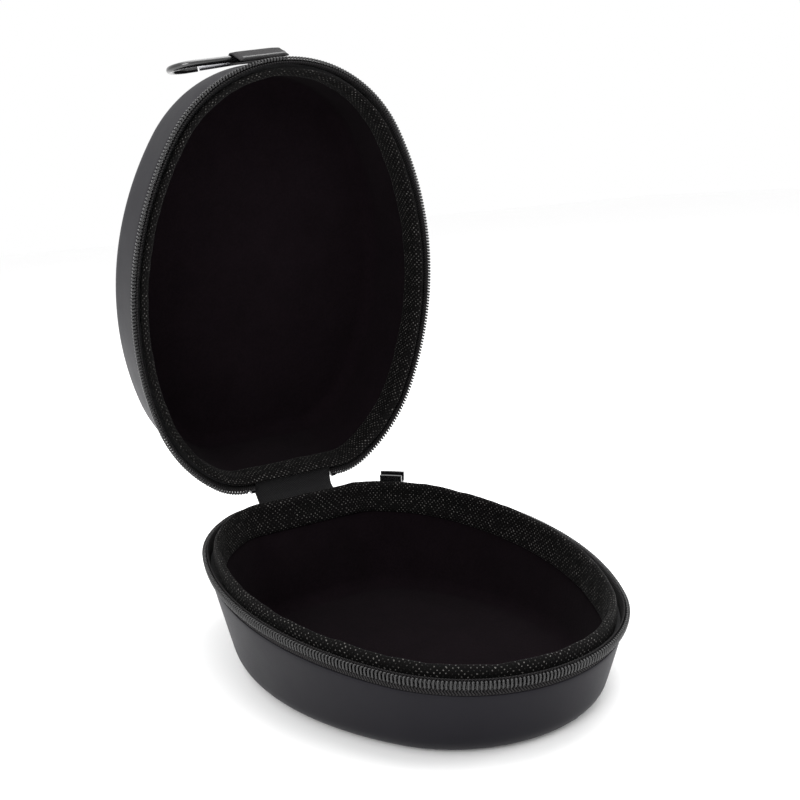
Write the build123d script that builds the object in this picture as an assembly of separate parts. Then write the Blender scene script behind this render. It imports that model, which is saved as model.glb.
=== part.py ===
from build123d import *
import math
import os

os.makedirs("parts", exist_ok=True)

# Hard zip-up carrying case, standing open. Millimetres.
# Rim frame: X to the right, -Y to the loop end, +Y to the hinge, Z = 0 in the parting plane.
# Each half is drawn hanging below Z = 0. The lid is then turned over, opened and set on the table
# with the rest. In the case's own frame the base stands on Z = 0, with the origin under its middle.

# ---- zip line, seen from above: tangent arcs, the same on both sides of the Y axis
FRONT_RADIUS = 68.3
SIDE_RADIUS = 157.3
REAR_RADIUS = 74.6
CORNER_RADIUS = 30.0
FRONT_END = -30.4   # direction of the outline's normal where each arc ends, degrees from +X
SIDE_END = 20.9
REAR_END = 55.8

# ---- depth, draft and rounding of the two tubs
BASE_DEPTH = 47.0   # at the middle of the length
BASE_SLOPE = 0.116  # extra depth per millimetre towards the hinge
BASE_DRAFT = 13.6
LID_DEPTH = 47.6
LID_SLOPE = 0.051
LID_DRAFT = 6.0
BOTTOM_RADIUS = 12.2
TUB_REACH = 75.0    # how far a tub is drawn before its bottom is cut
BEYOND = 400.0      # side of a cutting block larger than the case

# ---- layers of the wall, outside to inside
COVER = 0.8
FOAM = 3.2
LINING = 0.8
TAPE = 0.6
BINDING = 1.2
WALL_INSET = 2.4    # outer face of the wall, in from the zip line, at the wall's upper edge
WALL_TOP = 6.5      # wall's upper edge, below the parting plane
TAPE_TUCK = 12.0    # lower edge of the zip tape, tucked under the cover
BINDING_SKIRT = 14.0
BINDING_TOP = 0.4
BINDING_INSET = 5.4

# ---- zip
HEAD_GAP = 0.9      # parting plane to the coil
COIL_WIDTH = 3.9
COIL_THICK = 2.2
TAPE_INSET = 2.2    # outer face of the tape at its free edge
TAPE_LEAN = 10.1
ZIP_END_X = 24.0    # where each coil ends, beside the hinge
TAPE_END_X = 21.5
STOP_LENGTH = 2.0
STOP_ROUND = 0.5

# ---- hinge
HINGE_OUT = 3.5     # pivot line, out from the zip line's straight back
OPEN_DEG = 86.2
BAND_HALF = 21.0
BAND = 0.8
BAND_FOOT = 19.0
BAND_CLEAR = 0.1    # between the band and the cover
BAND_SHORT = 0.7    # the band's end, short of the pivot line
GUSSET = 0.6
GUSSET_SHORT = 2.4
GUSSET_ROOT = 1.6   # the gusset's edge at the binding, below the parting plane
GUSSET_CLEAR = 0.4  # between the gusset and the binding

# ---- slider, parked on the right rear arc
SLIDER_PARK = 49.0  # direction of the outline's normal at the slider
SLIDER_LENGTH = 12.0
PLATE = 1.2
OUTER_PLATE_OUT = 1.0       # outer plate's inner face, out from the zip line
INNER_PLATE_INSET = 3.8     # inner plate's outer face, in from the zip line
OUTER_PLATE_HALF = 4.6
INNER_PLATE_HALF = 4.5
POST_HALF = 0.55
POST_TURN = 1.9     # degrees of the rear arc that the post takes up
BRIDGE_RISE = 3.2   # axis of the bridge's bar above the outer plate
BRIDGE_SPAN = 7.6
BRIDGE_WIRE = 1.1
BRIDGE_LEAN = 1.2
RING_RADIUS = 2.4
RING_WIRE = 1.0
RING_DROP = 0.9     # ring's centre below the bridge's bar
TAB_LENGTH = 25.0
TAB_WIDTH = 8.0
TAB_THICK = 1.4
TAB_EYE = 1.4
TAB_EYE_BAR = 1.0
GRIP_LENGTH = 13.0
GRIP_WIDTH = 5.6
GRIP_THICK = 0.6
GRIP_START = 6.0    # below the tab's eye

# ---- webbing loop and snap hook, on the lid beside the front tip
LOOP_TURN = 8.4     # round the front arc from the tip
LOOP_SKEW = 2.9     # the loop's turn from the rim's own direction there
LOOP_WIDTH = 24.0
LOOP_ROOT = 6.9     # where the plies start, below the lid's parting plane
WEB = 1.1
WEB_PLAY = 0.3
HOOK_WIRE = 3.0
HOOK_TILT = 8.0     # the gate's side leans in towards the wall
SPINE_DEPTH = 17.0  # spine's axis below the lid's parting plane
FOLD_SLACK = 0.6    # room in the fold beyond the spine
HOOK_BIG = 9.0
HOOK_SMALL = 3.2
SPINE_NEAR = -12.2  # ends of the straight spine, from the middle of the loop
SPINE_FAR = 29.0
GATE_START = 4.0    # gate's rivet, from the small end's bend
GATE_LENGTH = 32.0
GATE_WIRE = 2.5
GATE_GAP = 0.4
EAR = 0.6
EAR_LENGTH = 5.0
EAR_SHIFT = 0.7     # ear's middle, from the rivet back towards the wire
EAR_PLAY = 0.15     # between an ear and the gate's flat
WIRE_SHORT = 2.2    # the wire's end, short of the rivet
GATE_FLAT = 3.2     # half length of the flat at the gate's rivet end
RIVET_RADIUS = 0.6
RIVET_PLAY = 0.05
RIVET_PROUD = 0.15
BARTACK = 0.6
BARTACK_LENGTH = 1.4
BARTACK_INSET = 1.5


def arc_chain():
    """Right-hand arcs as (centre x, centre y, radius, start, end), and half the length."""
    spans = (
        (FRONT_RADIUS, -90.0, FRONT_END),
        (SIDE_RADIUS, FRONT_END, SIDE_END),
        (REAR_RADIUS, SIDE_END, REAR_END),
        (CORNER_RADIUS, REAR_END, 90.0),
    )
    x, y = 0.0, 0.0
    chain = []
    for radius, start, end in spans:
        cx = x - radius * math.cos(math.radians(start))
        cy = y - radius * math.sin(math.radians(start))
        chain.append((cx, cy, radius, start, end))
        x = cx + radius * math.cos(math.radians(end))
        y = cy + radius * math.sin(math.radians(end))
    half = y / 2
    return [(cx, cy - half, r, a, b) for cx, cy, r, a, b in chain], half


ARCS, HALF_LENGTH = arc_chain()
HINGE_Y = HALF_LENGTH + HINGE_OUT
WEDGE = math.degrees(math.atan(BASE_SLOPE))
STAND = (
    Pos(0, -BASE_DEPTH * math.sin(math.radians(WEDGE)), BASE_DEPTH * math.cos(math.radians(WEDGE)))
    * Rot(WEDGE, 0, 0)
)
LID_PLACE = STAND * Pos(0, HINGE_Y, 0) * Rot(-OPEN_DEG, 0, 0) * Pos(0, -HINGE_Y, 0) * Rot(0, 180, 0)


def arc_point(arc, angle, inset=0.0):
    """Point of an arc at a normal direction, moved in from the zip line."""
    cx, cy, radius = arc[:3]
    reach = radius - inset
    return cx + reach * math.cos(math.radians(angle)), cy + reach * math.sin(math.radians(angle))


def outline(inset=0.0):
    """Face inside the zip line, moved in by inset."""
    right = []
    for arc in ARCS:
        start, end = arc[3], arc[4]
        right.append([arc_point(arc, a, inset) for a in (start, (start + end) / 2, end)])
    edges = []
    for side in (1, -1):
        for points in right:
            edges.append(ThreePointArc(*[(side * x, y) for x, y in points]))
    back_x, back_y = right[-1][-1]
    edges.append(Line((back_x, back_y), (-back_x, back_y)))
    return Face(Wire(edges))


def frustum(inset, top, reach, draft):
    """Solid below z = -top, whose outline starts at inset and closes in with depth."""
    profile = Pos(0, 0, -top) * outline(inset)
    return extrude(profile, amount=reach, dir=(0, 0, -1), taper=draft)


def half_sizes(half):
    """Depth, slope and draft of the base or of the lid."""
    if half == "base":
        return BASE_DEPTH, BASE_SLOPE, BASE_DRAFT
    return LID_DEPTH, LID_SLOPE, LID_DRAFT


def wall_inset(half, depth, layer=0.0):
    """Distance in from the zip line of a layer of the wall, at a depth."""
    draft = math.radians(half_sizes(half)[2])
    return WALL_INSET + layer / math.cos(draft) + (depth - WALL_TOP) * math.tan(draft)


def tub(half, layer):
    """Solid tub bounded by the surface that lies layer inside the outer one."""
    depth, slope, draft = half_sizes(half)
    block = frustum(wall_inset(half, 0.0, layer), 0.0, TUB_REACH, draft)
    normal = Vector(0, slope, 1).normalized()
    floor = Plane(origin=Vector(0, 0, -depth) + normal * layer, z_dir=normal)
    block = split(block, bisect_by=floor, keep=Keep.TOP)
    bottom = block.faces().sort_by(Axis.Z)[0]
    return fillet(bottom.edges(), BOTTOM_RADIUS - layer)


def slab(top, bottom):
    """Everything between two depths."""
    return Pos(0, 0, -(top + bottom) / 2) * Box(BEYOND, BEYOND, bottom - top)


def back_block(half_width):
    """Everything behind the middle and within half_width of the Y axis."""
    return Pos(0, BEYOND / 2, 0) * Box(2 * half_width, BEYOND, BEYOND)


TUBS = {}


def layer_between(half, outer, inner):
    for layer in (outer, inner):
        key = (half, round(layer, 3))
        if key not in TUBS:
            TUBS[key] = tub(half, layer)
    return TUBS[(half, round(outer, 3))] - TUBS[(half, round(inner, 3))]


def cover(half):
    return layer_between(half, 0.0, COVER) & slab(WALL_TOP, TUB_REACH)


def shell(half):
    foam = layer_between(half, COVER, COVER + FOAM) & slab(WALL_TOP, TUB_REACH)
    return foam - zip_tape(half)


def lining(half):
    skin = layer_between(half, COVER + FOAM, COVER + FOAM + LINING)
    return skin & slab(WALL_TOP, TUB_REACH)


def binding(half):
    """Padded tape over the rim: a roll on top and a skirt down the inside."""
    inside = COVER + FOAM + LINING
    skirt = layer_between(half, inside, inside + BINDING) & slab(WALL_TOP, BINDING_SKIRT)
    inner = wall_inset(half, WALL_TOP, inside + BINDING)
    roll = frustum(BINDING_INSET, BINDING_TOP, WALL_TOP - BINDING_TOP, 0)
    roll -= frustum(inner, 0.0, WALL_TOP + 1, 0)
    return roll + skirt


def zip_tape(half):
    """Woven tape: a leaning free edge that carries the coil, and a tail under the cover."""
    free = frustum(TAPE_INSET, HEAD_GAP, WALL_TOP - HEAD_GAP, TAPE_LEAN)
    free -= frustum(TAPE_INSET + TAPE, HEAD_GAP, WALL_TOP - HEAD_GAP, TAPE_LEAN)
    tail = layer_between(half, COVER, COVER + TAPE) & slab(WALL_TOP, TAPE_TUCK)
    return free + tail - back_block(TAPE_END_X)


def zip_coil():
    band = frustum(TAPE_INSET - COIL_THICK, HEAD_GAP, COIL_WIDTH, TAPE_LEAN)
    band -= frustum(TAPE_INSET, HEAD_GAP, COIL_WIDTH, TAPE_LEAN)
    return band - back_block(ZIP_END_X)


def zip_stop(side):
    """Crimped block at the end of the coil."""
    block = Box(STOP_LENGTH, COIL_THICK, COIL_WIDTH)
    block = fillet(block.edges().filter_by(Axis.X), STOP_ROUND)
    x = side * (ZIP_END_X - STOP_LENGTH / 2)
    return Pos(x, HALF_LENGTH - TAPE_INSET + COIL_THICK / 2, -HEAD_GAP - COIL_WIDTH / 2) * block


def strip(points, thick, half_width):
    """Strap of even thickness along a path of (y, z) points, centred on the Y axis."""
    path = Polyline(*points)
    return extrude(Plane.YZ * trace(path, line_width=thick), amount=half_width, both=True)


def hinge_band(half):
    """Outer half of the fabric hinge, from the wall up to the pivot line."""
    points = []
    for depth in (BAND_FOOT, WALL_TOP):
        points.append((HALF_LENGTH - wall_inset(half, depth) + BAND / 2 + BAND_CLEAR, -depth))
    points.append((HINGE_Y - BAND_SHORT, -HEAD_GAP))
    return strip(points, BAND, BAND_HALF)


def hinge_gusset():
    """Inner half of the fabric hinge, from the binding towards the pivot line."""
    start = (HALF_LENGTH - BINDING_INSET + GUSSET_CLEAR, -GUSSET_ROOT)
    end = (HINGE_Y - GUSSET_SHORT, -HEAD_GAP)
    return strip([start, end], GUSSET, BAND_HALF)


def rear_arc_sector(inner_inset, outer_inset, low, high, start, end):
    """Piece of a flat ring round the right rear arc's centre, between two normal directions."""
    arc = ARCS[2]
    cx, cy, radius = arc[:3]
    middle = (start + end) / 2
    rims = []
    for inset in (outer_inset, inner_inset):
        rims.append([arc_point(arc, a, inset) for a in (start, middle, end)])
    outer, inner = rims
    wire = Wire([
        ThreePointArc(*outer),
        Line(outer[2], inner[2]),
        ThreePointArc(*inner),
        Line(inner[0], outer[0]),
    ])
    return extrude(Pos(0, 0, low) * Face(wire), amount=high - low, dir=(0, 0, 1))


def slider_frame():
    """Location on the slider: X straight out from the case, Y along the track, Z up."""
    x, y = arc_point(ARCS[2], SLIDER_PARK)
    return Pos(x, y, 0) * Rot(0, 0, SLIDER_PARK)


def slider_body():
    """Outer and inner plates that run either side of the tapes, joined by a thin post."""
    half_turn = math.degrees(SLIDER_LENGTH / 2 / REAR_RADIUS)
    start, end = SLIDER_PARK - half_turn, SLIDER_PARK + half_turn
    outer = (-OUTER_PLATE_OUT, -OUTER_PLATE_OUT - PLATE)
    inner = (INNER_PLATE_INSET + PLATE, INNER_PLATE_INSET)
    post = (INNER_PLATE_INSET, -OUTER_PLATE_OUT)
    body = rear_arc_sector(*outer, -OUTER_PLATE_HALF, OUTER_PLATE_HALF, start, end)
    body += rear_arc_sector(*inner, -INNER_PLATE_HALF, INNER_PLATE_HALF, start, end)
    body += rear_arc_sector(*post, -POST_HALF, POST_HALF, start, start + POST_TURN)
    return body


def slider_bridge():
    """Arch on the outer plate that carries the ring; its bar runs along the track."""
    foot = OUTER_PLATE_OUT + PLATE
    top = foot + BRIDGE_RISE
    half_span = BRIDGE_SPAN / 2
    half_bar = half_span - BRIDGE_LEAN
    path = Polyline((foot, -half_span), (top, -half_bar), (top, half_bar), (foot, half_span))
    arch = extrude(trace(path, line_width=BRIDGE_WIRE), amount=BRIDGE_WIRE / 2, both=True)
    arch -= Pos(foot - BRIDGE_SPAN / 2, 0, 0) * Box(BRIDGE_SPAN, 2 * BRIDGE_SPAN, BRIDGE_SPAN)
    return slider_frame() * arch


def bridge_bar():
    """Location on the bridge's bar: Y along the bar, Z the way the ring hangs up, X away from the case."""
    down_tilt = math.degrees(math.asin(math.sin(math.radians(WEDGE)) * math.sin(math.radians(SLIDER_PARK))))
    return slider_frame() * Pos(OUTER_PLATE_OUT + PLATE + BRIDGE_RISE, 0, 0) * Rot(0, down_tilt, 0)


def pull_ring():
    """Ring round the bridge's bar, hanging down."""
    ring = Rot(90, 0, 0) * Torus(RING_RADIUS, RING_WIRE / 2)
    return bridge_bar() * Pos(0, 0, -RING_DROP) * ring


def tab_frame():
    """Location of the tab's eye, where the ring passes through it."""
    return bridge_bar() * Pos(0, 0, -RING_DROP - RING_RADIUS)


def pull_tab():
    """Flat puller with an eye at its top, hanging from the ring."""
    top = TAB_EYE + TAB_EYE_BAR
    blade = Box(TAB_THICK, TAB_WIDTH, TAB_LENGTH)
    blade = fillet(blade.edges().filter_by(Axis.X), TAB_WIDTH / 2 - 1.0)
    blade = Pos(0, 0, top - TAB_LENGTH / 2) * blade
    eye = Rot(0, 90, 0) * Cylinder(TAB_EYE, 2 * TAB_THICK)
    return tab_frame() * (blade - eye)


def pull_grip(side):
    """Soft plate on one face of the tab."""
    plate = Box(GRIP_THICK, GRIP_WIDTH, GRIP_LENGTH)
    plate = fillet(plate.edges().filter_by(Axis.X), GRIP_WIDTH / 2 - 0.5)
    x = side * (TAB_THICK + GRIP_THICK) / 2
    return tab_frame() * Pos(x, 0, -GRIP_START - GRIP_LENGTH / 2) * plate


def loop_frame():
    """Location at the zip line where the loop is sewn: X along the rim, -Y straight out, Z up."""
    cx, cy = ARCS[0][0], ARCS[0][1]
    return Pos(cx, cy, 0) * Rot(0, 0, LOOP_TURN) * Pos(0, -FRONT_RADIUS, 0) * Rot(0, 0, -LOOP_SKEW)


def spine_out():
    """How far out from the zip line the hook's spine lies, on the lower ply, on the wall."""
    return -wall_inset("lid", SPINE_DEPTH) + WEB_PLAY + WEB + WEB_PLAY + HOOK_WIRE / 2


def loop_root_out():
    """How far out from the zip line the middle of the lower ply starts."""
    return -wall_inset("lid", LOOP_ROOT) + WEB_PLAY + WEB / 2


def webbing_loop():
    """Folded webbing: a lower ply on the wall, a fold round the spine, an upper ply back to the zip."""
    out = spine_out()
    wrap = HOOK_WIRE / 2 + WEB_PLAY + WEB / 2
    fold_z = -SPINE_DEPTH - FOLD_SLACK
    lower_end = (-(out - wrap), fold_z)
    fold_tip = (-out, fold_z - wrap)
    upper_start = (-(out + wrap), fold_z)
    shoulder = (-(out + wrap), -SPINE_DEPTH + 1.0)
    upper_end = (-(loop_root_out() + WEB + 0.1), -LOOP_ROOT)
    path = Wire([
        Line((-loop_root_out(), -LOOP_ROOT), lower_end),
        ThreePointArc(lower_end, fold_tip, upper_start),
        Line(upper_start, shoulder),
        Line(shoulder, upper_end),
    ])
    face = Plane.YZ * trace(path, line_width=WEB)
    return loop_frame() * extrude(face, amount=LOOP_WIDTH / 2, both=True)


def loop_bartack():
    """Row of thread on the upper ply, closing the loop at its root."""
    block = Box(LOOP_WIDTH - 2 * BARTACK_INSET, BARTACK, BARTACK_LENGTH)
    climb = spine_out() + HOOK_WIRE / 2 + WEB_PLAY - loop_root_out() - WEB / 2
    rise = math.degrees(math.atan2(climb, SPINE_DEPTH - 1 - LOOP_ROOT))
    at_root = Pos(0, -(loop_root_out() + WEB), -LOOP_ROOT) * Rot(-rise, 0, 0)
    return loop_frame() * at_root * Pos(0, -(WEB + BARTACK) / 2 - 0.1, -1.0) * block


def hook_place():
    """Location of the hook: X along the spine, Y across towards the gate, Z in towards the wall."""
    return loop_frame() * Pos(0, -spine_out(), -SPINE_DEPTH) * Rot(-90 + LID_DRAFT + HOOK_TILT, 0, 0)


def gate_side():
    """Direction of the gate's side, and its tangent points on the small and the big end bend."""
    tilt = 2 * math.atan2(HOOK_BIG - HOOK_SMALL, SPINE_FAR - SPINE_NEAR)
    across = (-math.sin(tilt), math.cos(tilt))
    small = (SPINE_NEAR + HOOK_SMALL * across[0], HOOK_SMALL + HOOK_SMALL * across[1])
    big = (SPINE_FAR + HOOK_BIG * across[0], HOOK_BIG + HOOK_BIG * across[1])
    return math.degrees(tilt), small, big


def gate_point(distance):
    """Point on the gate's side, measured from the small end's bend."""
    tilt, small, big = gate_side()
    return (
        small[0] + distance * math.cos(math.radians(tilt)),
        small[1] + distance * math.sin(math.radians(tilt)),
    )


def bend_point(centre_x, radius, angle):
    turn = math.radians(angle)
    return centre_x + radius * math.cos(turn), radius + radius * math.sin(turn)


def hook_path():
    """Middle line of the bent wire, from the gate's pivot round to its nose."""
    tilt, small, big = gate_side()
    return Wire([
        Line(gate_point(GATE_START - WIRE_SHORT), small),
        ThreePointArc(small, bend_point(SPINE_NEAR, HOOK_SMALL, 180 + tilt / 2), (SPINE_NEAR, 0)),
        Line((SPINE_NEAR, 0), (SPINE_FAR, 0)),
        ThreePointArc((SPINE_FAR, 0), bend_point(SPINE_FAR, HOOK_BIG, tilt / 2), big),
        Line(big, gate_point(GATE_START + GATE_LENGTH + 2 * GATE_GAP)),
    ])


def gate_frame():
    """Location at the gate's rivet: X along the gate, Y out of the hook's opening."""
    return hook_place() * Pos(*gate_point(GATE_START)) * Rot(0, 0, gate_side()[0])


def hook_body():
    """Bent wire frame. Two ears at its near end hold the gate's rivet, and its far end is the nose."""
    path = hook_path()
    section = Plane(origin=path @ 0, z_dir=path % 0) * Circle(HOOK_WIRE / 2)
    wire = hook_place() * sweep(section, path=path)
    ears = []
    for side in (1, -1):
        ear = Box(EAR_LENGTH, GATE_WIRE, EAR)
        ears.append(gate_frame() * Pos(-EAR_SHIFT, 0, side * (HOOK_WIRE / 2 - EAR / 2)) * ear)
    bore = gate_frame() * Cylinder(RIVET_RADIUS, 2 * HOOK_WIRE)
    return wire + ears[0] + ears[1] - bore


def gate_rivet():
    return gate_frame() * Cylinder(RIVET_RADIUS, HOOK_WIRE + 2 * RIVET_PROUD)


def hook_gate():
    """Sprung bar that closes the hook. It is flattened between the ears and turns on the rivet."""
    eye_thick = HOOK_WIRE - 2 * EAR - 2 * EAR_PLAY
    bar = Pos(GATE_LENGTH / 2, 0, 0) * Rot(0, 90, 0) * Cylinder(GATE_WIRE / 2, GATE_LENGTH)
    for side in (1, -1):
        waste = Box(2 * GATE_FLAT, 2 * GATE_WIRE, GATE_WIRE)
        bar -= Pos(0, 0, side * (eye_thick / 2 + GATE_WIRE / 2)) * waste
    bar += Cylinder(GATE_WIRE / 2, eye_thick)
    return gate_frame() * (bar - Cylinder(RIVET_RADIUS + RIVET_PLAY, 2 * GATE_WIRE))


# ---- pieces
PIECES = {}
for half, place, left in (("base", STAND, -1), ("lid", LID_PLACE, 1)):
    PIECES[half + "_shell"] = place * shell(half)
    PIECES[half + "_cover"] = place * cover(half)
    PIECES[half + "_lining"] = place * lining(half)
    PIECES[half + "_binding"] = place * binding(half)
    PIECES[half + "_zip_tape"] = place * zip_tape(half)
    PIECES[half + "_zip_coil"] = place * zip_coil()
    PIECES[half + "_zip_stop_left"] = place * zip_stop(left)
    PIECES[half + "_zip_stop_right"] = place * zip_stop(-left)
    PIECES[half + "_hinge_band"] = place * hinge_band(half)
    PIECES[half + "_hinge_gusset"] = place * hinge_gusset()
PIECES["webbing_loop"] = LID_PLACE * webbing_loop()
PIECES["loop_bartack"] = LID_PLACE * loop_bartack()
PIECES["hook_body"] = LID_PLACE * hook_body()
PIECES["gate_rivet"] = LID_PLACE * gate_rivet()
PIECES["hook_gate"] = LID_PLACE * hook_gate()
PIECES["slider_body"] = STAND * slider_body()
PIECES["slider_bridge"] = STAND * slider_bridge()
PIECES["pull_ring"] = STAND * pull_ring()
PIECES["pull_tab"] = STAND * pull_tab()
PIECES["pull_grip_outer"] = STAND * pull_grip(1)
PIECES["pull_grip_inner"] = STAND * pull_grip(-1)

for name, piece in PIECES.items():
    piece.label = name
    export_step(piece, f"parts/{name}.step")
    print(name, round(piece.volume, 2))
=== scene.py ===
import math

import bmesh
import bpy
from mathutils import Matrix, Vector


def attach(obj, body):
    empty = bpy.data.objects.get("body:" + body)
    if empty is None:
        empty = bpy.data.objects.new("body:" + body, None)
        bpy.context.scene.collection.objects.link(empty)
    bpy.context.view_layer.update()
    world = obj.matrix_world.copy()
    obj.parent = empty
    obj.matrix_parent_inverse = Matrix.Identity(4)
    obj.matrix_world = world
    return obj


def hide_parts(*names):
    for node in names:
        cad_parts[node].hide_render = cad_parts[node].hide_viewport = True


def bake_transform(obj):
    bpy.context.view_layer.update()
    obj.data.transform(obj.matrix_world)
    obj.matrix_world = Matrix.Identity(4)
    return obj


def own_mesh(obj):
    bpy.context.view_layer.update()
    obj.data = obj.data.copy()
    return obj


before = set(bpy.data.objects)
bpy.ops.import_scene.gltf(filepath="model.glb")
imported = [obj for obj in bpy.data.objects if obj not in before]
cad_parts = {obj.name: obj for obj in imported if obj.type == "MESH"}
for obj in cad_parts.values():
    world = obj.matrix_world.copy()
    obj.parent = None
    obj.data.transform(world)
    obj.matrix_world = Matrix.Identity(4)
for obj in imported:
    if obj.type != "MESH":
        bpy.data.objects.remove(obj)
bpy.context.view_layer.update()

MM = 0.001

# ---- dimensions of the case, in millimetres, as in the CAD source
FRONT_RADIUS, SIDE_RADIUS, REAR_RADIUS, CORNER_RADIUS = 68.3, 157.3, 74.6, 30.0
FRONT_END, SIDE_END, REAR_END = -30.4, 20.9, 55.8
DEPTH = {"base": 47.0, "lid": 47.6}
SLOPE = {"base": 0.116, "lid": 0.051}
DRAFT = {"base": math.radians(13.6), "lid": math.radians(6.0)}
BOTTOM_RADIUS = 12.2
COVER, FOAM, LINING, TAPE = 0.8, 3.2, 0.8, 0.6
WALL_INSET, WALL_TOP, TAPE_TUCK, BINDING_SKIRT = 2.4, 6.5, 12.0, 14.0
HEAD_GAP, COIL_WIDTH, COIL_THICK, TAPE_INSET = 0.9, 3.9, 2.2, 2.2
TAPE_LEAN = math.radians(10.1)
ZIP_END_X, TAPE_END_X = 24.0, 21.5
HINGE_OUT, OPEN_DEG, BAND_HALF, BAND, BAND_FOOT = 3.5, 86.2, 21.0, 0.8, 19.0
LOOP_TURN, LOOP_SKEW, LOOP_WIDTH, LOOP_ROOT, WEB, WEB_PLAY = 8.4, 2.9, 24.0, 6.9, 1.1, 0.3
HOOK_WIRE, SPINE_DEPTH, FOLD_SLACK = 3.0, 17.0, 0.6

# ---- dimensions of the visible surfaces only, in millimetres where they are lengths
COVER_TOP = 7.8  # upper edge of the cover, below the parting plane
COIL_PITCH = 1.575
COIL_WIRE = 0.42  # radius of the nylon
COIL_SQUARE = 0.55  # below 1 the turns are squarer than an ellipse
COIL_STEPS, COIL_SIDES = 14, 6
CREST_FOOT = 5.8  # depth at which the binding starts to rise over the rim
CREST_RISE = 8.0  # depth over which its unevenness grows
CREST_WAVE = 0.28  # size of the unevenness
TUB_STEP, TAPE_STEP, BINDING_STEP = 3.0, 4.0, 2.2
RIBBON_COLUMNS = 9
SELVEDGE_THIN, SELVEDGE_POWER = 0.45, 8  # a ribbon thins by this share at its selvedges
PATH_STEPS = 6
LINING_DROP = 0.3  # lining's upper edge, below the wall's
GUSSET = 0.6


def outline_arcs():
    """Right-hand arcs of the zip line as (centre x, centre y, radius, start, end) and half the length."""
    x, y, chain = 0.0, 0.0, []
    spans = (
        (FRONT_RADIUS, -90.0, FRONT_END),
        (SIDE_RADIUS, FRONT_END, SIDE_END),
        (REAR_RADIUS, SIDE_END, REAR_END),
        (CORNER_RADIUS, REAR_END, 90.0),
    )
    for radius, start, end in spans:
        a, b = math.radians(start), math.radians(end)
        cx, cy = x - radius * math.cos(a), y - radius * math.sin(a)
        chain.append((cx, cy, radius, a, b))
        x, y = cx + radius * math.cos(b), cy + radius * math.sin(b)
    half = y / 2
    return [(cx, cy - half, r, a, b) for cx, cy, r, a, b in chain], half, x


ARCS, HALF_LENGTH, CHORD = outline_arcs()
HINGE_Y = HALF_LENGTH + HINGE_OUT
RIM_LENGTH = 2 * (CHORD + sum(r * (b - a) for _, _, r, a, b in ARCS))


def rim(u):
    """Point and outward normal of the zip line at a distance u from the middle of its straight back."""
    u = u % RIM_LENGTH
    side = 1.0
    if u > RIM_LENGTH / 2:
        u, side = RIM_LENGTH - u, -1.0
    if u <= CHORD:
        return side * u, HALF_LENGTH, 0.0, 1.0
    u -= CHORD
    for cx, cy, r, a, b in reversed(ARCS):
        if u <= r * (b - a) + 1e-9:
            t = b - u / r
            return side * (cx + r * math.cos(t)), cy + r * math.sin(t), side * math.cos(t), math.sin(t)
        u -= r * (b - a)
    return 0.0, -HALF_LENGTH, 0.0, -1.0


# ---- places: rim frame to row frame
WEDGE = math.atan(SLOPE["base"])
LIFT = Vector((0, -DEPTH["base"] * math.sin(WEDGE), DEPTH["base"] * math.cos(WEDGE)))
STAND = Matrix.Translation(LIFT) @ Matrix.Rotation(WEDGE, 4, "X")
HINGE = Matrix.Translation((0, HINGE_Y, 0))
OPENED = Matrix.Rotation(-math.radians(OPEN_DEG), 4, "X")
LID = STAND @ HINGE @ OPENED @ HINGE.inverted() @ Matrix.Rotation(math.pi, 4, "Y")
PLACE = {"base": STAND, "lid": LID}


def at(half, x, y, z):
    """Row-frame point, in metres, of a point drawn in a half's rim frame."""
    return (PLACE[half] @ Vector((x, y, z))) * MM


def on_rim(half, u, inset, depth):
    x, y, nx, ny = rim(u)
    return at(half, x - inset * nx, y - inset * ny, -depth)


def ripple(u, seed):
    """Small repeatable unevenness round the rim, between about -1 and 1."""
    turn = 2 * math.pi * u / RIM_LENGTH
    parts = ((23, 0.5, 1.3), (41, 0.35, 2.1), (67, 0.3, 0.7), (13, 0.3, 4.2))
    return sum(k * math.sin(n * turn + p * seed) for n, k, p in parts)


# ---- materials
def new_material(name):
    mat = bpy.data.materials.new(name)
    mat.use_nodes = True
    return mat, mat.node_tree.nodes, mat.node_tree.links


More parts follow.
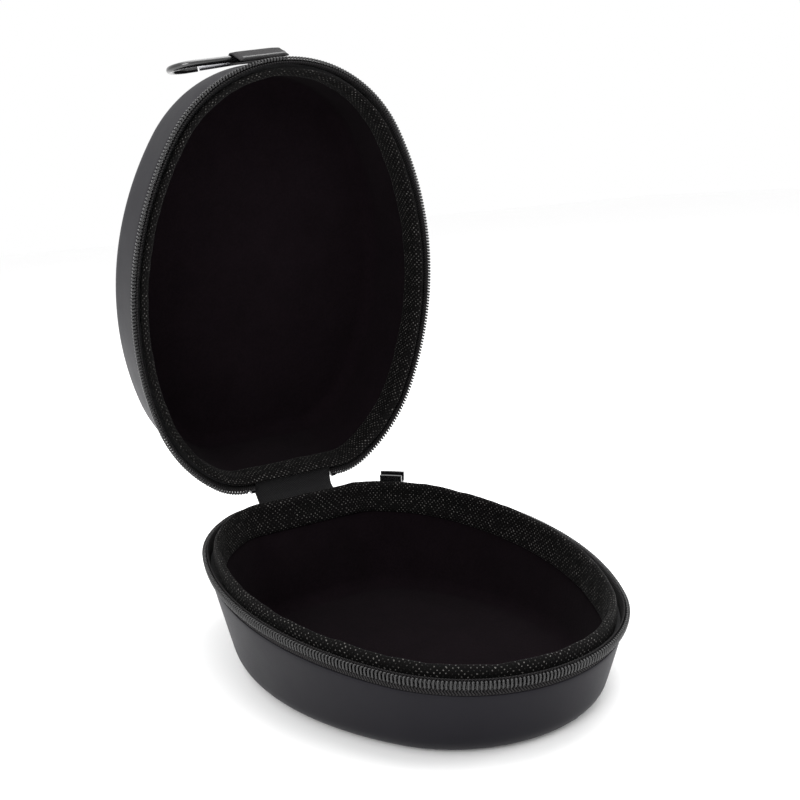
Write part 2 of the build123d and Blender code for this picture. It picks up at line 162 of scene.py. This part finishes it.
class Nodes:
    """Short names for building a material's nodes."""

    def __init__(self, name, **sockets):
        self.mat, self.nodes, self.links = new_material(name)
        self.bsdf = self.nodes["Principled BSDF"]
        for key, value in sockets.items():
            self.bsdf.inputs[key.replace("_", " ")].default_value = value

    def add(self, kind, inputs=(), **props):
        node = self.nodes.new(kind)
        for key, value in props.items():
            setattr(node, key, value)
        for key, value in dict(inputs).items():
            if isinstance(value, bpy.types.NodeSocket):
                self.links.new(value, node.inputs[key])
            else:
                node.inputs[key].default_value = value
        return node

    def math(self, operation, a, b=0.0, clamp=False):
        return self.add("ShaderNodeMath", {0: a, 1: b}, operation=operation, use_clamp=clamp).outputs[0]

    def object_point(self):
        return self.add("ShaderNodeTexCoord").outputs["Object"]

    def uv(self):
        split = self.add("ShaderNodeSeparateXYZ", {0: self.add("ShaderNodeUVMap", uv_map="rim").outputs[0]})
        return split.outputs[0], split.outputs[1]

    def noise(self, scale, detail=2.0, rough=0.5):
        inputs = {"Vector": self.object_point(), "Scale": scale, "Detail": detail, "Roughness": rough}
        return self.add("ShaderNodeTexNoise", inputs).outputs[0]

    def cells(self, scale):
        inputs = {"Vector": self.object_point(), "Scale": scale}
        return self.add("ShaderNodeTexVoronoi", inputs).outputs["Distance"]

    def wave(self, coordinate, period, phase=0.0):
        turns = self.math("MULTIPLY", coordinate, 2 * math.pi / period)
        return self.math("SINE", self.math("ADD", turns, phase))

    def ramp(self, value, low, high, to_low=0.0, to_high=1.0):
        inputs = {0: value, 1: low, 2: high, 3: to_low, 4: to_high}
        return self.add("ShaderNodeMapRange", inputs, interpolation_type="SMOOTHSTEP").outputs[0]

    def colour(self, value, *stops):
        node = self.add("ShaderNodeValToRGB", {0: value})
        ramp = node.color_ramp
        while len(ramp.elements) < len(stops):
            ramp.elements.new(0.5)
        for element, (place, rgb) in zip(ramp.elements, stops):
            element.position = place
            element.color = (*rgb, 1)
        self.links.new(node.outputs[0], self.bsdf.inputs["Base Color"])

    def rough(self, value, low, high):
        self.links.new(self.ramp(value, 0.0, 1.0, low, high), self.bsdf.inputs["Roughness"])

    def bump(self, height, distance, strength=1.0):
        inputs = {"Height": height, "Distance": distance, "Strength": strength}
        previous = self.bsdf.inputs["Normal"].links
        if previous:
            inputs["Normal"] = previous[0].from_socket
        node = self.add("ShaderNodeBump", inputs)
        self.links.new(node.outputs[0], self.bsdf.inputs["Normal"])


def cover_material():
    """Soft-touch laminated fabric: fine grain, faint cloudy colour and a cool sheen."""
    tint = (0.8, 0.78, 0.95, 1)
    n = Nodes("cover", Sheen_Weight=0.02, Sheen_Roughness=0.3, Sheen_Tint=tint, Specular_IOR_Level=0.1)
    cloud = n.noise(28, 3, 0.6)
    grain = n.noise(2600, 2, 0.6)
    n.colour(cloud, (0.25, (0.0052, 0.0048, 0.0068)), (0.75, (0.0076, 0.0070, 0.0096)))
    n.rough(n.math("ADD", n.math("MULTIPLY", cloud, 0.5), n.math("MULTIPLY", grain, 0.5)), 0.36, 0.60)
    n.bump(grain, 0.00004, 0.5)
    n.bump(n.noise(140, 2, 0.5), 0.00008, 0.35)
    return n.mat


def foam_material():
    n = Nodes("foam", Roughness=0.9)
    cell = n.cells(1400)
    n.colour(cell, (0.0, (0.006, 0.006, 0.0065)), (0.6, (0.016, 0.016, 0.017)))
    n.bump(cell, 0.0002, 0.7)
    return n.mat


def lining_material():
    """Short-nap knitted lining, almost black, with a cloudy pile."""
    n = Nodes("lining", Sheen_Weight=0.01, Sheen_Roughness=0.5, Specular_IOR_Level=0.03)
    pile = n.noise(900, 3, 0.7)
    cloud = n.noise(60, 4, 0.65)
    mixed = n.math("ADD", n.math("MULTIPLY", pile, 0.6), n.math("MULTIPLY", cloud, 0.4))
    n.colour(mixed, (0.3, (0.0024, 0.0014, 0.0020)), (0.7, (0.0052, 0.0032, 0.0044)))
    n.rough(pile, 0.85, 1.0)
    n.bump(pile, 0.00025, 0.6)
    return n.mat


def mesh_material():
    """Open-weave binding: offset rows of knots over gaps, with painted highlight on the knots and painted
    shade in the gaps.
    """
    n = Nodes("binding_mesh", Sheen_Weight=0.02, Sheen_Roughness=0.4, Specular_IOR_Level=0.06)
    u, v = n.uv()
    wander = n.math("MULTIPLY", n.math("SUBTRACT", n.noise(700, 1), 0.5), 0.0011)
    across = n.math("ADD", v, wander)
    along = n.math("ADD", u, wander)
    knot = n.math("MULTIPLY", n.wave(along, 0.0024), n.wave(across, 0.0024))
    thread = n.math("MULTIPLY", n.wave(u, 0.00052), n.wave(v, 0.00052))
    dots = n.ramp(knot, 0.42, 0.92)
    uneven = n.math("MULTIPLY", dots, n.ramp(n.noise(420, 2), 0.35, 0.65, 0.25, 1.0))
    # Painted light: the gap tone is painted shade standing in for the open holes, and the knot tone is
    # painted highlight on the raised knots over the dark yarn.
    gap, yarn, knot_painted_highlight = (0.0016, 0.0014, 0.0014), (0.006, 0.0056, 0.0055), (0.11, 0.105, 0.10)
    n.colour(uneven, (0.0, gap), (0.35, yarn), (1.0, knot_painted_highlight))
    n.rough(uneven, 0.75, 0.42)
    n.bump(thread, 0.00006, 0.4)
    n.bump(dots, 0.0004, 0.9)
    return n.mat


def tape_material():
    """Herringbone zip tape: slanting ribs that change direction every 1.3 mm."""
    n = Nodes("zip_tape_weave", Sheen_Weight=0.02, Sheen_Roughness=0.4, Specular_IOR_Level=0.08)
    u, v = n.uv()
    zigzag = n.math("PINGPONG", v, 0.0013)
    slant = n.math("ADD", u, n.math("MULTIPLY", zigzag, 0.9))
    rib = n.ramp(n.wave(slant, 0.00125), -0.6, 0.9)
    fuzz = n.noise(2200, 2)
    tone = n.math("MULTIPLY", rib, n.ramp(fuzz, 0.3, 0.7, 0.5, 1.0))
    n.colour(tone, (0.0, (0.0015, 0.0014, 0.0015)), (1.0, (0.028, 0.026, 0.027)))
    n.rough(tone, 0.85, 0.6)
    n.bump(rib, 0.00018, 0.9)
    n.bump(fuzz, 0.00004, 0.4)
    return n.mat


def woven_material(name, dark, light, pitch, sheen=0.03):
    """Plain weave of a given thread pitch in metres, for the strap and the hinge fabric."""
    n = Nodes(name, Sheen_Weight=sheen, Sheen_Roughness=0.4, Specular_IOR_Level=0.1)
    u, v = n.uv()
    over = n.math("MULTIPLY", n.wave(u, 2 * pitch), n.wave(v, 2 * pitch))
    ribs = n.math("ABSOLUTE", n.wave(v, 2 * pitch))
    fuzz = n.noise(1800, 3, 0.6)
    tone = n.math("ADD", n.math("MULTIPLY", n.ramp(over, -1, 1), 0.6), n.math("MULTIPLY", fuzz, 0.4))
    n.colour(tone, (0.25, dark), (0.8, light))
    n.rough(tone, 0.9, 0.62)
    n.bump(over, pitch * 0.25, 0.8)
    n.bump(ribs, pitch * 0.15, 0.5)
    return n.mat


def coil_material():
    """Nylon monofilament with a soft gloss."""
    n = Nodes("nylon_coil", Specular_IOR_Level=0.45, Coat_Weight=0.1, Coat_Roughness=0.2)
    worn = n.noise(900, 3, 0.6)
    n.colour(worn, (0.3, (0.002, 0.0019, 0.0021)), (0.75, (0.006, 0.0057, 0.0062)))
    n.rough(worn, 0.2, 0.36)
    n.bump(worn, 0.00003, 0.3)
    return n.mat


def enamel_material():
    """Glossy black coating on metal: orange-peel bump, and rubbed patches."""
    n = Nodes("black_enamel", Coat_Weight=0.6, Coat_Roughness=0.08, Specular_IOR_Level=0.6)
    patch = n.noise(420, 4, 0.65)
    wear = 0.70
    rubbed = n.ramp(patch, wear, wear + 0.12)
    n.colour(rubbed, (0.0, (0.003, 0.003, 0.0033)), (1.0, (0.03, 0.03, 0.031)))
    n.rough(patch, 0.14, 0.34)
    n.bump(n.noise(1500, 2), 0.00003, 0.3)
    return n.mat


def nickel_material():
    n = Nodes("bright_nickel", Metallic=1.0)
    scuff = n.noise(1500, 4, 0.7)
    n.colour(scuff, (0.3, (0.42, 0.42, 0.44)), (0.7, (0.66, 0.66, 0.69)))
    n.rough(scuff, 0.16, 0.36)
    n.bump(scuff, 0.00002, 0.4)
    return n.mat


def grip_material():
    n = Nodes("soft_grip", Specular_IOR_Level=0.35)
    grain = n.noise(2400, 2, 0.6)
    n.colour(grain, (0.3, (0.006, 0.006, 0.0065)), (0.7, (0.014, 0.014, 0.015)))
    n.rough(grain, 0.5, 0.75)
    n.bump(grain, 0.00006, 0.5)
    return n.mat


def thread_material():
    n = Nodes("thread", Sheen_Weight=0.3)
    inputs = {"Vector": n.object_point(), "Scale": 1500.0, "Distortion": 1.0}
    ply = n.add("ShaderNodeTexWave", inputs).outputs[1]
    n.colour(ply, (0.0, (0.012, 0.012, 0.013)), (1.0, (0.05, 0.05, 0.052)))
    n.rough(ply, 0.7, 0.45)
    n.bump(ply, 0.0001, 0.8)
    return n.mat


MATERIALS = {
    "cover": cover_material(),
    "foam": foam_material(),
    "lining": lining_material(),
    "mesh": mesh_material(),
    "tape": tape_material(),
    "strap": woven_material("strap_weave", (0.008, 0.0078, 0.008), (0.06, 0.058, 0.06), 0.0004, 0.04),
    "hinge": woven_material("hinge_weave", (0.003, 0.003, 0.0032), (0.014, 0.0135, 0.0143), 0.00055),
    "coil": coil_material(),
    "enamel": enamel_material(),
    "nickel": nickel_material(),
    "grip": grip_material(),
    "thread": thread_material(),
}


# ---- mesh helpers
def finish_mesh(name, vertices, faces, uvs, material, level=0):
    """Object from points, faces and one UV pair per face corner, with outward normals and smooth shading."""
    mesh = bpy.data.meshes.new(name)
    mesh.from_pydata([tuple(v) for v in vertices], [], faces)
    layer = mesh.uv_layers.new(name="rim")
    flat = [c for face in uvs for pair in face for c in pair]
    layer.data.foreach_set("uv", flat)
    work = bmesh.new()
    work.from_mesh(mesh)
    bmesh.ops.recalc_face_normals(work, faces=work.faces)
    work.to_mesh(mesh)
    work.free()
    mesh.shade_smooth()
    mesh.materials.append(MATERIALS[material])
    obj = bpy.data.objects.new(name, mesh)
    bpy.context.collection.objects.link(obj)
    if level:
        modifier = obj.modifiers.new("smooth", "SUBSURF")
        modifier.levels = modifier.render_levels = level
    return obj


def grid_mesh(name, rows, row_u, material, wrap_rows, wrap_columns, cap=False, level=0):
    """Mesh from rows of points. Each row is one profile, at row_u millimetres along the sweep."""
    count = len(rows[0])
    lengths = [0.0]
    for a, b in zip(rows[0], rows[0][1:]):
        lengths.append(lengths[-1] + (b - a).length)
    lengths.append(lengths[-1] + (rows[0][0] - rows[0][-1]).length)
    faces, uvs = [], []
    columns = count if wrap_columns else count - 1
    for i in range(len(rows) if wrap_rows else len(rows) - 1):
        j = (i + 1) % len(rows)
        u0, u1 = row_u[i] * MM, row_u[i + 1] * MM
        for k in range(columns):
            m = (k + 1) % count
            faces.append((i * count + k, j * count + k, j * count + m, i * count + m))
            v0, v1 = lengths[k], lengths[k + 1]
            uvs.append(((u0, v0), (u1, v0), (u1, v1), (u0, v1)))
    if cap:
        for i in (0, len(rows) - 1):
            faces.append(tuple(range(i * count, (i + 1) * count)))
            uvs.append(tuple((row_u[i] * MM, v) for v in lengths[:count]))
    vertices = [p for row in rows for p in row]
    return finish_mesh(name, vertices, faces, uvs, material, level)


def round_rim(name, half, profile, step, material, gap=0.0, level=0):
    """Closed profile swept round the zip line. gap is how far each end stays from the middle of the back."""
    length = RIM_LENGTH - 2 * gap
    count = max(8, round(length / step))
    places = [gap + length * i / count for i in range(count + 1)]
    used = places if gap else places[:-1]
    rows = [[on_rim(half, u, s, h) for s, h in profile(u)] for u in used]
    return grid_mesh(name, rows, places, material, not gap, True, cap=bool(gap), level=level)


# ---- tubs: cover and lining
def wall_inset(half, depth, layer=0.0):
    return WALL_INSET + layer / math.cos(DRAFT[half]) + (depth - WALL_TOP) * math.tan(DRAFT[half])


def tub_profile(half, u, layer, top):
    """(inset, depth) points down the wall and round the bottom bend of one surface of the wall."""
    _, y, _, ny = rim(u)
    draft, slope, radius = DRAFT[half], SLOPE[half], BOTTOM_RADIUS - layer
    floor = DEPTH[half] + slope * y - layer * math.hypot(1, slope)
    lean = slope * -ny
    stretch = math.hypot(1, lean)
    start = WALL_INSET + layer / math.cos(draft) - WALL_TOP * math.tan(draft)
    inset = start + radius / math.cos(draft) + math.tan(draft) * (floor - radius * stretch)
    inset /= 1 - lean * math.tan(draft)
    depth = floor + lean * inset - radius * stretch
    wall_end = depth + radius * math.sin(draft)
    points = []
    for k in range(7):
        h = top + (wall_end - top) * k / 6
        points.append((wall_inset(half, h, layer), h))
    first, last = math.pi - draft, math.atan2(1, -lean)
    for k in range(1, 9):
        a = first + (last - first) * k / 8
        points.append((inset + radius * math.cos(a), depth + radius * math.sin(a)))
    return points


def tub_piece(name, half, outer, inner, top, material):
    """Closed thin shell between two layers of the wall, bottom included."""
    count = round(RIM_LENGTH / TUB_STEP)
    places = [RIM_LENGTH * i / count for i in range(count)]
    rings = []
    for layer, order in ((outer, -1), (inner, 1)):
        columns = [tub_profile(half, u, layer, top) for u in places]
        side = []
        for k in range(len(columns[0])):
            side.append([on_rim(half, u, *column[k]) for u, column in zip(places, columns)])
        centre = at(half, 0, 0, -(DEPTH[half] - layer * math.hypot(1, SLOPE[half])))
        for share in (0.3, 0.65, 0.9):
            side.append([p.lerp(centre, share) for p in side[len(columns[0]) - 1]])
        rings.append((side[::order], centre))
    (outer_rings, low), (inner_rings, high) = rings
    every = outer_rings + inner_rings
    vertices = [low] + [p for ring in every for p in ring] + [high]
    faces = []
    for i in range(count):
        j = (i + 1) % count
        faces.append((0, 1 + j, 1 + i))
        for k in range(len(every) - 1):
            a, b = 1 + k * count, 1 + (k + 1) * count
            faces.append((a + i, a + j, b + j, b + i))
        last = 1 + (len(every) - 1) * count
        faces.append((last + i, last + j, len(vertices) - 1))
    uvs = [tuple((0.0, 0.0) for _ in face) for face in faces]
    return finish_mesh(name, vertices, faces, uvs, material, level=1)


# ---- rim: tape, coil and binding
def tape_profile(half):
    lean = math.tan(TAPE_LEAN)
    outer = [(TAPE_INSET + (h - HEAD_GAP) * lean, h) for h in (HEAD_GAP, 2.5, 4.2, 5.2)]
    outer += [(2.86, 6.1), (wall_inset(half, 7.3, 0.15), 7.3)]
    outer += [(wall_inset(half, COVER_TOP, 0.45), COVER_TOP)]
    outer += [(wall_inset(half, h, COVER), h) for h in (9.0, TAPE_TUCK)]
    return outer + [(s + TAPE, h) for s, h in reversed(outer)]


def coil_piece(name, half):
    """One nylon filament, wound flat: each turn crosses the tape's face straight and steps on behind."""
    turns = int((RIM_LENGTH - 2 * ZIP_END_X) / COIL_PITCH)
    pitch = (RIM_LENGTH - 2 * ZIP_END_X) / turns
    steps, sides = COIL_STEPS, COIL_SIDES
    half_thick, half_width = COIL_THICK / 2 - COIL_WIRE, COIL_WIDTH / 2 - COIL_WIRE
    centre_inset, centre_depth = TAPE_INSET - COIL_THICK / 2, HEAD_GAP + COIL_WIDTH / 2

    def middle(t):
        turn, part = divmod(t, 1.0)
        a = 2 * math.pi * part
        c, s = math.cos(a), math.sin(a)
        thick = math.copysign(abs(c) ** COIL_SQUARE, c) * half_thick
        wide = math.copysign(abs(s) ** COIL_SQUARE, s) * half_width
        ahead = 0.0 if part < 0.25 else 1.0 if part > 0.75 else (part - 0.25) * 2
        u = ZIP_END_X + (turn + ahead + 0.5) * pitch
        depth = centre_depth + wide
        inset = centre_inset - thick + (depth - HEAD_GAP) * math.tan(TAPE_LEAN)
        head = max(0.0, -s) ** 3
        return on_rim(half, u, inset, depth), head

    rows, heads = [], []
    for i in range(turns * steps):
        point, head = middle(i / steps)
        rows.append(point)
        heads.append(head)
    vertices, faces, uvs = [], [], []
    for i, point in enumerate(rows):
        ahead = rows[min(i + 1, len(rows) - 1)] - rows[max(i - 1, 0)]
        _, _, nx, ny = rim(ZIP_END_X + i / steps * pitch)
        along = (PLACE[half].to_3x3() @ Vector((-ny, nx, 0))).normalized()
        first = ahead.cross(along)
        if first.length < 1e-9:
            first = Vector((0, 0, 1))
        first.normalize()
        second = first.cross(ahead).normalized()
        for k in range(sides):
            a = 2 * math.pi * k / sides
            wide = COIL_WIRE * MM * (1.15 + 0.35 * heads[i])
            vertices.append(point + first * math.cos(a) * COIL_WIRE * MM + second * math.sin(a) * wide)
    for i in range(len(rows) - 1):
        for k in range(sides):
            m = (k + 1) % sides
            faces.append((i * sides + k, (i + 1) * sides + k, (i + 1) * sides + m, i * sides + m))
            uvs.append(((0, 0),) * 4)
    for i in (0, len(rows) - 1):
        faces.append(tuple(range(i * sides, (i + 1) * sides)))
        uvs.append(((0, 0),) * sides)
    return finish_mesh(name, vertices, faces, uvs, "coil")


def binding_profile(half):
    """Padded tape: it rises from the groove behind the zip, rolls over the rim and runs down inside."""
    inside = COVER + FOAM + LINING + 1.2
    crest = {
        "base": (
            (5.3, CREST_FOOT), (5.2, 3.6), (5.25, 1.2), (5.5, -0.7),
            (6.2, -2.0), (7.2, -2.35), (8.2, -1.7), (8.9, -0.2),
        ),
        "lid": (
            (5.3, CREST_FOOT), (5.2, 3.9), (5.2, 2.2), (5.4, 0.9),
            (6.0, 0.25), (6.8, 0.5), (7.7, 1.6), (8.4, 3.0),
        ),
    }[half]
    bulges = ((3.6, 0.75), (7.0, 0.5), (10.5, 0.3), (13.2, 0.05))
    down = [(wall_inset(half, h, inside) + bulge, h) for h, bulge in bulges]
    back = [(wall_inset(half, h, inside - 1.2) + 0.05, h) for h in (BINDING_SKIRT, 10.5, 7.0)]

    def profile(u):
        swell = CREST_WAVE * ripple(u, 1.0 if half == "base" else 2.3)
        points = []
        for s, h in crest:
            share = max(0.0, (CREST_FOOT - h) / CREST_RISE)
            points.append((s + 0.3 * swell * share, h - swell * share))
        points += [(s + 0.8 * swell, h) for s, h in down]
        return points + back

    return profile


def ribbon(name, path, half_width, thick, material, to_row):
    """Strip of even thickness along a path of (y, z) points in a plane, with softened selvedges."""
    points = [Vector((0, y, z)) for y, z in path]
    normals = []
    for i in range(len(points)):
        along = points[min(i + 1, len(points) - 1)] - points[max(i - 1, 0)]
        normals.append(Vector((1, 0, 0)).cross(along).normalized())
    distance = [0.0]
    for a, b in zip(points, points[1:]):
        distance.append(distance[-1] + (b - a).length)
    distance.append(distance[-1])
    rows = []
    for point, normal in zip(points, normals):
        face = []
        for side in (1, -1):
            for k in range(RIBBON_COLUMNS):
                x = side * half_width * (1 - 2 * k / (RIBBON_COLUMNS - 1))
                edge = 1 - SELVEDGE_THIN * (abs(x) / half_width) ** SELVEDGE_POWER
                face.append(to_row(point + Vector((x, 0, 0)) + normal * side * thick / 2 * edge))
        rows.append(face)
    return grid_mesh(name, rows, distance, material, False, True, cap=True)


def path_length(points):
    return sum(math.dist(a, b) for a, b in zip(points, points[1:]))


def smooth_path(corners, count):
    """Even points along a Catmull-Rom curve through the corners."""
    pts = [Vector(c) for c in corners]
    pts = [2 * pts[0] - pts[1]] + pts + [2 * pts[-1] - pts[-2]]
    out = []
    for i in range(1, len(pts) - 2):
        a, b, c, d = pts[i - 1 : i + 3]
        for k in range(count):
            t = k / count
            square, cube = 2 * a - 5 * b + 4 * c - d, 3 * b - a - 3 * c + d
            out.append(0.5 * (2 * b + (c - a) * t + square * t * t + cube * t**3))
    out.append(pts[-2])
    return [(p[0], p[1]) for p in out]


BASE_PLANE = STAND.inverted() @ LID


def from_lid(y, z):
    """Point of the lid's middle plane, in the base's rim frame."""
    p = BASE_PLANE @ Vector((0, y, z))
    return p.y, p.z


def hinge_path(half_points):
    return half_points("base") + [(HINGE_Y, -0.2)] + [from_lid(*p) for p in reversed(half_points("lid"))]


def band_points(half):
    out = []
    for depth in (BAND_FOOT, 13.0, WALL_TOP):
        out.append((HALF_LENGTH - wall_inset(half, depth) + BAND / 2 + 0.15, -depth))
    out.append((HINGE_Y - 2.2, -2.6))
    return out


def gusset_points(half):
    return [(HALF_LENGTH - 5.2, -2.0), (HALF_LENGTH - 1.8, -2.2)]


def to_rim(point):
    return (STAND @ point) * MM


for half in ("base", "lid"):
    cover = tub_piece(half + "_cover_skin", half, 0.0, COVER, COVER_TOP, "cover")
    back, front = COVER + FOAM, COVER + FOAM + LINING
    lining = tub_piece(half + "_lining_knit", half, back, front, WALL_TOP + LINING_DROP, "lining")
    tape = round_rim(half + "_tape_weave", half, lambda u: tape_profile(half), TAPE_STEP, "tape", TAPE_END_X)
    coil = coil_piece(half + "_coil_turns", half)
    binding = round_rim(half + "_binding_roll", half, binding_profile(half), BINDING_STEP, "mesh", level=1)
    for piece, node, slot in (
        (cover, "_cover", "shell_cover"),
        (lining, "_lining", "lining"),
        (tape, "_zip_tape", "zip_tape"),
        (coil, "_zip_coil", "zip_coil"),
        (binding, "_binding", "binding"),
    ):
        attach(piece, half)
        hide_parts(half + node)
    tape_width = path_length(tape_profile(half)[: len(tape_profile(half)) // 2])
    if half == "base":
        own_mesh(binding)

band_path = smooth_path(hinge_path(band_points), PATH_STEPS)
gusset_path = smooth_path(hinge_path(gusset_points), PATH_STEPS)
band = ribbon("hinge_band_weave", band_path, BAND_HALF, BAND, "hinge", to_rim)
gusset = ribbon("hinge_gusset_weave", gusset_path, BAND_HALF, GUSSET, "hinge", to_rim)
for piece, node, path in ((band, "_hinge_band", band_path), (gusset, "_hinge_gusset", gusset_path)):
    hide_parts("base" + node, "lid" + node)
    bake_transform(piece)


def spine_out():
    return -wall_inset("lid", SPINE_DEPTH) + WEB_PLAY + WEB + WEB_PLAY + HOOK_WIRE / 2


def loop_piece():
    out, root = spine_out(), -wall_inset("lid", LOOP_ROOT) + WEB_PLAY + WEB / 2
    wrap = HOOK_WIRE / 2 + WEB_PLAY + WEB / 2
    fold_z = -SPINE_DEPTH - FOLD_SLACK
    path = []
    for k in range(7):
        t = k / 6
        path.append((-root + (-(out - wrap) + root) * t, -LOOP_ROOT + (fold_z + LOOP_ROOT) * t))
    for k in range(1, 13):
        a = math.pi * k / 12
        path.append((-out + wrap * math.cos(a), fold_z - wrap * math.sin(a)))
    shoulder = (-(out + wrap), -SPINE_DEPTH + 1.0)
    path.append(shoulder)
    end = (-(root + WEB + 0.1), -LOOP_ROOT)
    for k in range(1, 7):
        t = k / 6
        path.append((shoulder[0] + (end[0] - shoulder[0]) * t, shoulder[1] + (end[1] - shoulder[1]) * t))
    cx, cy = ARCS[0][0], ARCS[0][1]
    place = (
        LID
        @ Matrix.Translation((cx, cy, 0))
        @ Matrix.Rotation(math.radians(LOOP_TURN), 4, "Z")
        @ Matrix.Translation((0, -FRONT_RADIUS, 0))
        @ Matrix.Rotation(-math.radians(LOOP_SKEW), 4, "Z")
    )
    piece = ribbon("strap_loop", path, LOOP_WIDTH / 2, WEB, "strap", lambda p: (place @ p) * MM)
    return piece, path_length(path)


strap, strap_length = loop_piece()
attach(strap, "lid")
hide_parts("webbing_loop")

NODE_LOOK = {
    "base_shell": "foam",
    "lid_shell": "foam",
    "loop_bartack": "thread",
    "hook_body": "enamel",
    "hook_gate": "nickel",
    "gate_rivet": "nickel",
    "slider_body": "enamel",
    "slider_bridge": "enamel",
    "pull_ring": "enamel",
    "pull_tab": "enamel",
    "pull_grip_outer": "grip",
    "pull_grip_inner": "grip",
}
for half in ("base", "lid"):
    for side in ("left", "right"):
        NODE_LOOK[f"{half}_zip_stop_{side}"] = "enamel"
for node, look in NODE_LOOK.items():
    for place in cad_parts[node].material_slots:
        place.material = MATERIALS[look]


# ---- floor, light and camera
def floor():
    mesh = bpy.data.meshes.new("floor")
    size = 6.0
    corners = [(-size, -size, 0), (size, -size, 0), (size, size, 0), (-size, size, 0)]
    mesh.from_pydata(corners, [], [(0, 1, 2, 3)])
    n = Nodes("pale_floor", Roughness=0.9, Specular_IOR_Level=0.1)
    n.colour(n.noise(3, 2), (0.0, (0.975, 0.975, 0.975)), (1.0, (0.99, 0.99, 0.99)))
    mesh.materials.append(n.mat)
    obj = bpy.data.objects.new("floor", mesh)
    bpy.context.collection.objects.link(obj)


def area_light(name, place, target, size, power):
    light = bpy.data.lights.new(name, "AREA")
    light.shape = "RECTANGLE"
    light.size, light.size_y = size
    light.energy = power
    obj = bpy.data.objects.new(name, light)
    obj.location = place
    obj.rotation_euler = (Vector(target) - Vector(place)).to_track_quat("-Z", "Y").to_euler()
    bpy.context.collection.objects.link(obj)


floor()
area_light("key", (-1.1, -1.0, 0.9), (0, 0, 0.08), (0.8, 0.8), 16)
area_light("top", (0.2, 0.1, 1.6), (0, 0, 0.1), (1.4, 1.4), 22)
area_light("fill", (1.3, -0.7, 0.6), (0, 0, 0.1), (0.6, 0.9), 6)

world = bpy.data.worlds.new("studio")
world.use_nodes = True
world.node_tree.nodes["Background"].inputs["Color"].default_value = (1, 1, 1, 1)
world.node_tree.nodes["Background"].inputs["Strength"].default_value = 1.0
bpy.context.scene.world = world
bpy.context.scene.view_settings.view_transform = "Standard"

# Camera, placed in the base's rim frame and then stood on the table with the case.
CAM_AZIMUTH, CAM_ELEVATION, CAM_ROLL = math.radians(-32.36), math.radians(16.09), math.radians(-0.764)
CAM_SHIFT = (4.997, -71.31)
CAM_DISTANCE = 500.0
CAM_LENS = 51.9


def make_camera():
    back = Vector(
        (
            math.sin(CAM_AZIMUTH) * math.cos(CAM_ELEVATION),
            -math.cos(CAM_AZIMUTH) * math.cos(CAM_ELEVATION),
            math.sin(CAM_ELEVATION),
        )
    )
    right = Vector((0, 0, 1)).cross(back).normalized()
    up = back.cross(right)
    rolled_right = right * math.cos(CAM_ROLL) + up * math.sin(CAM_ROLL)
    rolled_up = up * math.cos(CAM_ROLL) - right * math.sin(CAM_ROLL)
    eye = -CAM_SHIFT[0] * rolled_right - CAM_SHIFT[1] * rolled_up + CAM_DISTANCE * back
    axes = STAND.to_3x3() @ Matrix((rolled_right, rolled_up, back)).transposed()
    data = bpy.data.cameras.new("camera")
    data.lens, data.sensor_width = CAM_LENS, 36.0
    data.clip_start, data.clip_end = 0.01, 50
    camera = bpy.data.objects.new("camera", data)
    camera.matrix_world = Matrix.Translation((STAND @ eye) * MM) @ axes.to_4x4()
    bpy.context.collection.objects.link(camera)
    bpy.context.scene.camera = camera


make_camera()
